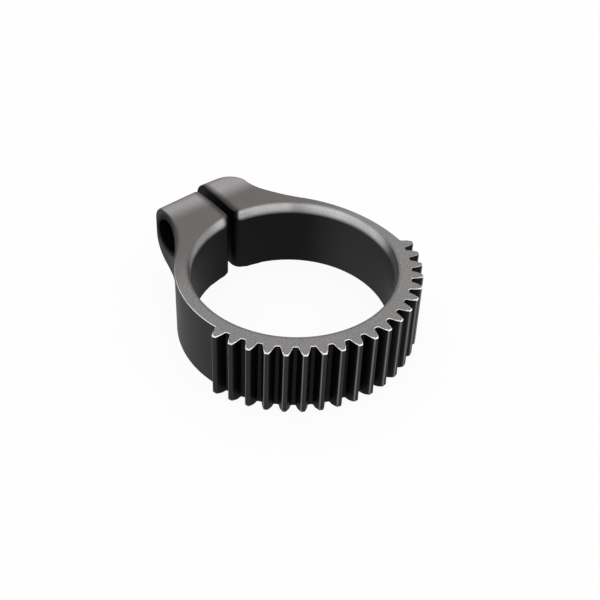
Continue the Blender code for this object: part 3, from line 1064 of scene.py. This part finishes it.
    def top_edge(self):
        """The narrow strips that round the edges of the top face, but not of the lead-in."""
        high = self.height.smooth_step(*TOP_EDGE_RISE)
        tilted = self.upward.smooth_step(*TOP_EDGE_TILT_START)
        tilted = tilted * (1 - self.upward.smooth_step(*TOP_EDGE_TILT_END))
        return high * tilted * self.radius.smooth_step(*TOP_EDGE_START)


def worn_and_highlit_edges(zones):
    """Where the top face's edges are bright, partly from wear and partly as a painted highlight: in
    patches round the ring, and at the tooth tips.
    """
    spread = EDGE_WEAR_AND_HIGHLIGHT_LEAST + EDGE_WEAR_AND_HIGHLIGHT_BY_BLOTCH * zones.blotch
    spread = spread + EDGE_WEAR_AND_HIGHLIGHT_BY_SPECKLE * (zones.speckle - NOISE_MIDDLE)
    edges = zones.top_edge() * spread.clamped()
    edges = edges * (EDGE_WEAR_AND_HIGHLIGHT_ON_LUG + (1 - EDGE_WEAR_AND_HIGHLIGHT_ON_LUG) * zones.ring())
    tips = zones.top_edge() * zones.radius.smooth_step(*TIP_EDGE)
    tips = tips * (TIP_WEAR_AND_HIGHLIGHT_LEAST + TIP_WEAR_AND_HIGHLIGHT_BY_SPECKLE * zones.speckle).clamped()
    return edges.highest(tips * zones.sector()) * zones.teeth_highlight_fade()


def plain_colour(graph, zones):
    """The steel away from its bright edges, with painted light and shade: the top face painted lighter
    than the walls, the crests and the bore painted darker as shade, and the gaps painted near black as
    shade.
    """
    # Painted light on the top face: lighter than the walls, painted shade on the lug, a painted
    # highlight on the ear ends
    top_with_painted_light = graph.mix(zones.ring(), SHADED_LUG_TOP_COLOUR, LIT_TOP_COLOUR)
    top_with_painted_light = graph.mix(zones.ear_ends(), top_with_painted_light, HIGHLIT_EAR_END_COLOUR)
    # Painted shade: darker stripes along the slit's edges on the ears
    top_with_painted_light = graph.mix(SLIT_EDGE_SHADE_STRENGTH * zones.slit_edge_shade(), top_with_painted_light, RECESS_SHADE_COLOUR)
    # Painted shade: the walls darker except round the left wall
    wall = graph.mix(zones.clear_of_teeth(), SHADED_WALL_COLOUR, WALL_COLOUR)
    # Painted shade in the bore, lighter towards the left and the right
    bore = graph.mix(zones.across.smooth_step(*PALE_BORE), SHADED_BORE_COLOUR, LESS_SHADED_BORE_COLOUR)
    bore = graph.mix((-zones.across).smooth_step(*LEFT_BORE), bore, LEFT_SHADED_BORE_COLOUR)
    colour = graph.mix(zones.top(), wall, top_with_painted_light)
    # Painted shade on the tooth crests
    colour = graph.mix(zones.crests(), colour, SHADED_CREST_COLOUR)
    colour = graph.mix(zones.bore(), colour, bore)
    # Painted shade: the slit, the tooth gaps and the bolt hole painted near black
    return graph.mix(zones.recess_shade(), colour, RECESS_SHADE_COLOUR)


def lead_in_colour(graph, zones):
    """Bare steel with painted highlight and shade: painted brightest on the long ear's side, and
    painted darker at the front and the left.
    """
    patches = graph.noise(zones.place, *PATCHES).smooth_step(*PATCH_SPREAD)
    bright = zones.bright_side()
    shine = PATCH_SHINE * patches * (1 - bright)
    shine = shine + (BRIGHT_SIDE_SHINE + (1 - BRIGHT_SIDE_SHINE) * patches) * bright
    bare = graph.mix(shine, SATIN_COLOUR, HIGHLIT_BARE_COLOUR)
    # Painted shade at the front and the left of the band
    bare = graph.mix(zones.near_lug(), SHADED_BAND_COLOUR, bare)
    left_shade = BAND_LEFT_SHADE_STRENGTH * (-zones.across).smooth_step(*BAND_LEFT_SHADE)
    bare = graph.mix(left_shade, bare, SHADED_BAND_COLOUR)
    # Painted shade at the lead-in's end by the slit
    return graph.mix(zones.dark_corner(), bare, RECESS_SHADE_COLOUR)


def steel_grain(zones):
    """A factor about 1 for the colour: speckles, blotches, turned lines and the dark bore rim."""
    worn = zones.ring() * zones.top()
    coarse = SPECKLE_LEAST + SPECKLE_ON_RING * worn
    grain = 1 + SPECKLE_DEPTH * coarse * (zones.speckle - NOISE_MIDDLE)
    grain = grain + BLOTCH_DEPTH * (zones.blotch - NOISE_MIDDLE)
    lines = LINES_DEPTH * (zones.turned_lines - NOISE_MIDDLE)
    return grain + lines * zones.lead_in().highest(worn) - BORE_RIM_DEPTH * zones.bore_rim()


def blackened_steel():
    """Oiled black steel with light and shade painted in: the top face painted grey as if lit, the gaps
    painted near black as shade, and the edges bright partly from wear and partly as a painted
    highlight.
    """
    material = bpy.data.materials.new("blackened_steel")
    material.use_nodes = True
    graph = Graph(material.node_tree)
    shader = material.node_tree.nodes["Principled BSDF"]
    shader.inputs["Specular IOR Level"].default_value = SPECULAR_LEVEL
    shader.inputs["Specular Tint"].default_value = SPECULAR_TINT
    zones = SteelZones(graph)
    lead_in = zones.lead_in()
    worn_and_highlit = worn_and_highlit_edges(zones)
    # Painted highlight on the crests' upright edges, on one side only
    crest_edge_highlight = zones.crest_edges() * (CREST_EDGE_HIGHLIGHT_LEAST + CREST_EDGE_HIGHLIGHT_BY_LINES * zones.turned_lines).clamped()
    chips = zones.speckle.smooth_step(*CHIP_SPECKLE) * zones.blotch.smooth_step(*CHIP_BLOTCH)
    bared_and_highlit = (worn_and_highlit + CHIP_STRENGTH * (chips * zones.top())).clamped()

    colour = graph.mix(lead_in, plain_colour(graph, zones), lead_in_colour(graph, zones))
    colour = graph.mix(crest_edge_highlight, colour, CREST_EDGE_HIGHLIGHT_COLOUR)
    # Bright edges, partly wear and partly a painted highlight, and worn chips
    colour = graph.mix(bared_and_highlit, colour, WORN_AND_HIGHLIT_COLOUR)
    colour = graph.add("ShaderNodeVectorMath", {"operation": "SCALE"}, {
        0: colour, "Scale": steel_grain(zones),
    })
    roughness = ROUGHNESS + ROUGHNESS_BY_BLOTCH * (zones.blotch - NOISE_MIDDLE)
    roughness = roughness + ROUGHNESS_BY_SPECKLE * (zones.speckle - NOISE_MIDDLE)
    roughness = roughness - RUBBED_SMOOTHER * worn_and_highlit
    metal = METALNESS + RUBBED_METALNESS * worn_and_highlit - LEAD_IN_LESS_METAL * lead_in
    bump = graph.add("ShaderNodeBump", None, {
        "Strength": RELIEF_STRENGTH,
        "Distance": RELIEF_DEPTH,
        "Height": zones.speckle + RELIEF_BY_LINES * zones.turned_lines * lead_in,
    })
    made = {
        "Base Color": colour,
        "Roughness": roughness.clamped(),
        "Metallic": metal.clamped(),
        "Normal": bump,
    }
    for name, value in made.items():
        graph.tree.links.new(value.socket, shader.inputs[name])
    return material


# Floor, light and camera

def seen_directly(graph):
    """1 where the camera looks, itself or in a reflection, and 0 where light only arrives."""
    rays = graph.add("ShaderNodeLightPath")
    seen = rays.output("Is Camera Ray").highest(rays.output("Is Glossy Ray"))
    return seen.highest(rays.output("Is Transmission Ray"))


def white_floor():
    """A plain floor that looks white to the camera and in the steel, and keeps a faint shadow."""
    floor = new_object("floor", lambda shape: bmesh.ops.create_grid(shape, size=FLOOR_SIZE / 2))
    material = bpy.data.materials.new("white_floor")
    material.use_nodes = True
    graph = Graph(material.node_tree)
    graph.tree.nodes.clear()
    paint = (FLOOR_ALBEDO, FLOOR_ALBEDO, FLOOR_ALBEDO, 1.0)
    lit = graph.add("ShaderNodeBsdfDiffuse", None, {"Color": paint})
    white = graph.add("ShaderNodeEmission", None, {"Color": WHITE, "Strength": 1.0})
    surface = graph.add("ShaderNodeMixShader", None, {
        0: seen_directly(graph) * FLOOR_GLOW, 1: lit, 2: white,
    })
    graph.add("ShaderNodeOutputMaterial", None, {"Surface": surface})
    floor.data.materials.append(material)


def soft_world():
    """A dome that looks white and gives a little less light towards the horizon."""
    world = bpy.data.worlds.new("soft_dome")
    world.use_nodes = True
    graph = Graph(world.node_tree)
    graph.tree.nodes.clear()
    direction = graph.add("ShaderNodeTexCoord", None, None, "Generated")
    up = graph.add("ShaderNodeSeparateXYZ", None, {"Vector": direction}).output("Z")
    level = DOME_LOW + (DOME_HIGH - DOME_LOW) * up.smooth_step(*DOME_RISE)
    level = level.highest(seen_directly(graph))
    pale = graph.add("ShaderNodeBackground", None, {"Color": WHITE, "Strength": level})
    graph.add("ShaderNodeOutputWorld", None, {"Surface": pale})
    bpy.context.scene.world = world


def softbox(name, place, aim, size, radiance):
    """A square lamp that points at a place and shows at a given brightness."""
    lamp = bpy.data.lights.new(name, "AREA")
    lamp.shape = "SQUARE"
    lamp.size = size
    lamp.energy = radiance * math.pi * size ** 2
    made = bpy.data.objects.new(name, lamp)
    made.location = place
    made.rotation_euler = (Vector(aim) - Vector(place)).to_track_quat("-Z", "Y").to_euler()
    bpy.context.scene.collection.objects.link(made)


def photograph_camera():
    """The camera at the photograph's angle, turned a little about its own view."""
    camera = bpy.data.cameras.new("camera")
    camera.lens = CAMERA_LENS
    camera.sensor_width = CAMERA_SENSOR
    camera.clip_start = CAMERA_NEAREST
    away = Vector((
        math.sin(CAMERA_AZIMUTH) * math.cos(CAMERA_ELEVATION),
        -math.cos(CAMERA_AZIMUTH) * math.cos(CAMERA_ELEVATION),
        math.sin(CAMERA_ELEVATION),
    ))
    right = Vector((math.cos(CAMERA_AZIMUTH), math.sin(CAMERA_AZIMUTH), 0.0))
    up = away.cross(right)
    rolled_right = right * math.cos(CAMERA_ROLL) + up * math.sin(CAMERA_ROLL)
    rolled_up = up * math.cos(CAMERA_ROLL) - right * math.sin(CAMERA_ROLL)
    turn = Matrix((rolled_right, rolled_up, away)).transposed()
    made = bpy.data.objects.new("camera", camera)
    made.matrix_world = Matrix.Translation(CAMERA_AIM + away * CAMERA_DISTANCE) @ turn.to_4x4()
    bpy.context.scene.collection.objects.link(made)
    bpy.context.scene.camera = made


steel = blackened_steel()
gear = machined_gear(steel)
place_gear(gear)
gear.data.materials.clear()
gear.data.materials.append(steel)

white_floor()
soft_world()
softbox("back_softbox", **BACK_SOFTBOX)
softbox("front_softbox", **FRONT_SOFTBOX)
photograph_camera()
bpy.context.scene.view_settings.view_transform = "Standard"

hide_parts("sector_gear")
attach(gear, "root")
